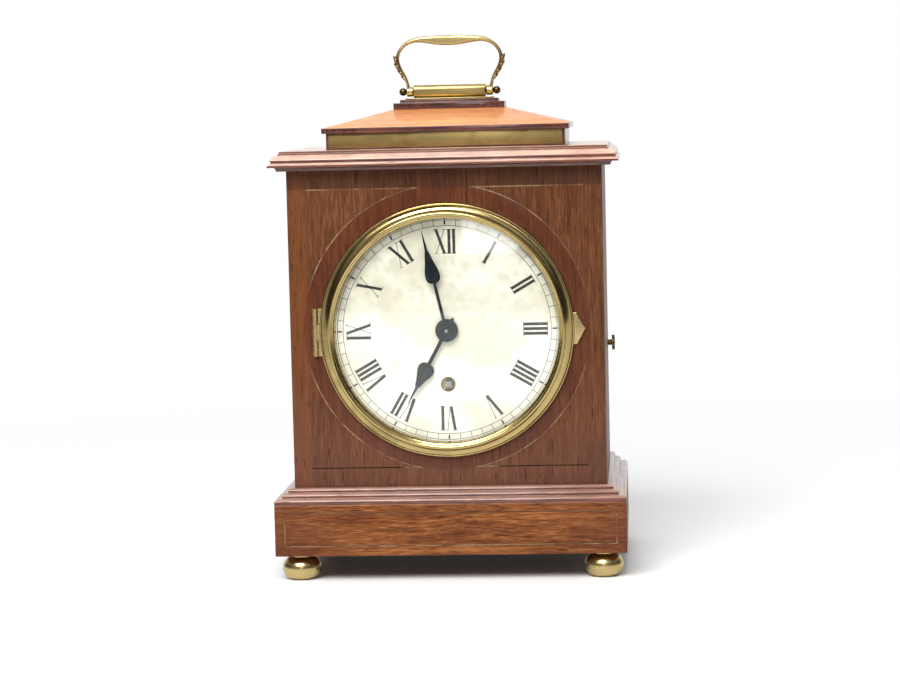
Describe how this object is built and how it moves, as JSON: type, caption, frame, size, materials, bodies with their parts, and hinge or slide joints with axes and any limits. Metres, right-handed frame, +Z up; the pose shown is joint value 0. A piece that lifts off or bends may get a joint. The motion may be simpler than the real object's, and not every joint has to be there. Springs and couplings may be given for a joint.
{
  "type": "bracket clock",
  "caption": "Wooden bracket clock with a round silvered dial behind a hinged domed glass, hipped roof, swinging brass carrying handle, back door and spring driven movement.",
  "frame": {"origin": "bottom centre of the overall box, on the surface the feet stand on", "axes": "+Z up, +X to the right seen from the front, the dial faces -Y"},
  "size_m": [0.194, 0.1468, 0.3005],
  "materials": {
    "mahogany": "french polish",
    "roof_veneer": "french polish",
    "boxwood": "french polish",
    "brass": "polished and lacquered",
    "dark_bronze": "toned dark",
    "silvered_brass": "silvered, satin",
    "blued_steel": "blued",
    "steel": "polished",
    "glass": "clear"
  },
  "bodies": {
    "root": {"front_panel": "mahogany", "side_panel_left": "mahogany", "side_panel_right": "mahogany", "case_bottom_board": "mahogany", "base_moulding": "mahogany", "cornice": "mahogany", "plinth_front": "mahogany", "plinth_back": "mahogany", "plinth_sides": "mahogany", "stringing": "boxwood", "bun_feet": "brass", "frieze_block": "mahogany", "frieze_band": "brass", "roof_eave": "mahogany", "roof": "roof_veneer", "top_plinth": "mahogany", "handle_base": "brass", "handle_pivots": "dark_bronze", "case_hinge_leaf": "brass", "dial_plate": "silvered_brass", "front_plate": "brass", "back_plate": "brass", "pillars": "brass", "movement_lugs": "brass", "movement_screws": "steel", "platform": "brass", "balance_cock": "brass", "door_hinge_fixed_leaves": "brass", "hinge_pins_and_screws": "steel"},
    "handle": {"handle": "brass"},
    "bezel": {"bezel_ring": "brass", "glass": "glass", "sight_ring": "brass", "bezel_tab": "brass", "bezel_hinge_leaf": "brass"},
    "back_door": {"back_door": "mahogany", "door_hinge_moving_leaves": "brass", "door_screws": "steel", "latch_keeper": "brass"},
    "side_latch": {"side_knob": "dark_bronze", "latch_finger": "brass"},
    "minute_train": {"centre_wheel": "brass", "cannon_pinion": "brass", "minute_hand": "blued_steel"},
    "hour_train": {"hour_wheel": "brass", "hour_hand": "blued_steel"},
    "motion_wheel": {"minute_wheel": "brass"},
    "intermediate": {"intermediate_wheel": "brass"},
    "going_barrel": {"barrel": "brass", "barrel_cover": "brass", "mainspring": "steel"},
    "winding": {"barrel_arbor": "steel", "ratchet_wheel": "steel"},
    "click": {"click": "steel"},
    "third": {"third_wheel": "brass"},
    "contrate": {"contrate_wheel": "brass"},
    "escape": {"escape_wheel": "steel"},
    "lever": {"lever": "steel"},
    "balance": {"balance": "brass", "hairspring": "blued_steel"}
  },
  "joints": [
    {"name": "handle_swing", "type": "hinge", "parent": "root", "child": "handle", "pos_m": [0, 0.00413, 0.2685], "axis": [1, 0, 0], "range_deg": [-95, 95]},
    {"name": "bezel_open", "type": "hinge", "parent": "root", "child": "bezel", "pos_m": [-0.0723, -0.06417, 0.1374], "axis": [0, 0, -1], "range_deg": [0, 110]},
    {"name": "door_open", "type": "hinge", "parent": "root", "child": "back_door", "pos_m": [-0.07737, 0.07187, 0.1374], "axis": [0, 0, 1], "range_deg": [0, 110]},
    {"name": "latch_turn", "type": "hinge", "parent": "root", "child": "side_latch", "pos_m": [0.08, 0.04913, 0.119], "axis": [1, 0, 0], "range_deg": [0, 90]},
    {"name": "minute_turn", "type": "hinge", "parent": "root", "child": "minute_train", "pos_m": [0, -0.05008, 0.1374], "axis": [0, 1, 0], "continuous": true},
    {"name": "hour_turn", "type": "hinge", "parent": "root", "child": "hour_train", "pos_m": [0, -0.05008, 0.1374], "axis": [0, 1, 0], "continuous": true},
    {"name": "motion_turn", "type": "hinge", "parent": "root", "child": "motion_wheel", "pos_m": [0.012, -0.05008, 0.1374], "axis": [0, 1, 0], "continuous": true},
    {"name": "intermediate_turn", "type": "hinge", "parent": "root", "child": "intermediate", "pos_m": [0.01541, -0.05008, 0.12645], "axis": [0, 1, 0], "continuous": true},
    {"name": "barrel_turn", "type": "hinge", "parent": "root", "child": "going_barrel", "pos_m": [0, -0.05008, 0.1074], "axis": [0, 1, 0], "continuous": true},
    {"name": "winding_turn", "type": "hinge", "parent": "root", "child": "winding", "pos_m": [0, -0.05008, 0.1074], "axis": [0, 1, 0], "continuous": true},
    {"name": "click_lift", "type": "hinge", "parent": "root", "child": "click", "pos_m": [-0.0085, -0.02268, 0.1164], "axis": [0, -1, 0], "range_deg": [0, 6.5], "stiffness_Nm_per_rad": 0.002, "springref_deg": -8.59},
    {"name": "third_turn", "type": "hinge", "parent": "root", "child": "third", "pos_m": [-0.00728, -0.05008, 0.14856], "axis": [0, 1, 0], "continuous": true},
    {"name": "contrate_turn", "type": "hinge", "parent": "root", "child": "contrate", "pos_m": [0, -0.05008, 0.1584], "axis": [0, 1, 0], "continuous": true},
    {"name": "escape_turn", "type": "hinge", "parent": "root", "child": "escape", "pos_m": [0, -0.03309, 0.1774], "axis": [0, 0, 1], "continuous": true},
    {"name": "lever_rock", "type": "hinge", "parent": "root", "child": "lever", "pos_m": [0, -0.03849, 0.1774], "axis": [0, 0, 1], "range_deg": [-5, 5]},
    {"name": "balance_swing", "type": "hinge", "parent": "root", "child": "balance", "pos_m": [0, -0.04404, 0.1774], "axis": [0, 0, 1], "range_deg": [-220, 220], "stiffness_Nm_per_rad": 0.000003}
  ],
  "couplings": [
    {"joint": "hour_turn", "follows": "minute_turn", "ratio": 0.083333},
    {"joint": "motion_turn", "follows": "minute_turn", "ratio": -0.33333},
    {"joint": "intermediate_turn", "follows": "minute_turn", "ratio": -0.16667},
    {"joint": "barrel_turn", "follows": "minute_turn", "ratio": 0.027778},
    {"joint": "third_turn", "follows": "minute_turn", "ratio": -8},
    {"joint": "contrate_turn", "follows": "minute_turn", "ratio": 60},
    {"joint": "escape_turn", "follows": "minute_turn", "ratio": 600}
  ]
}
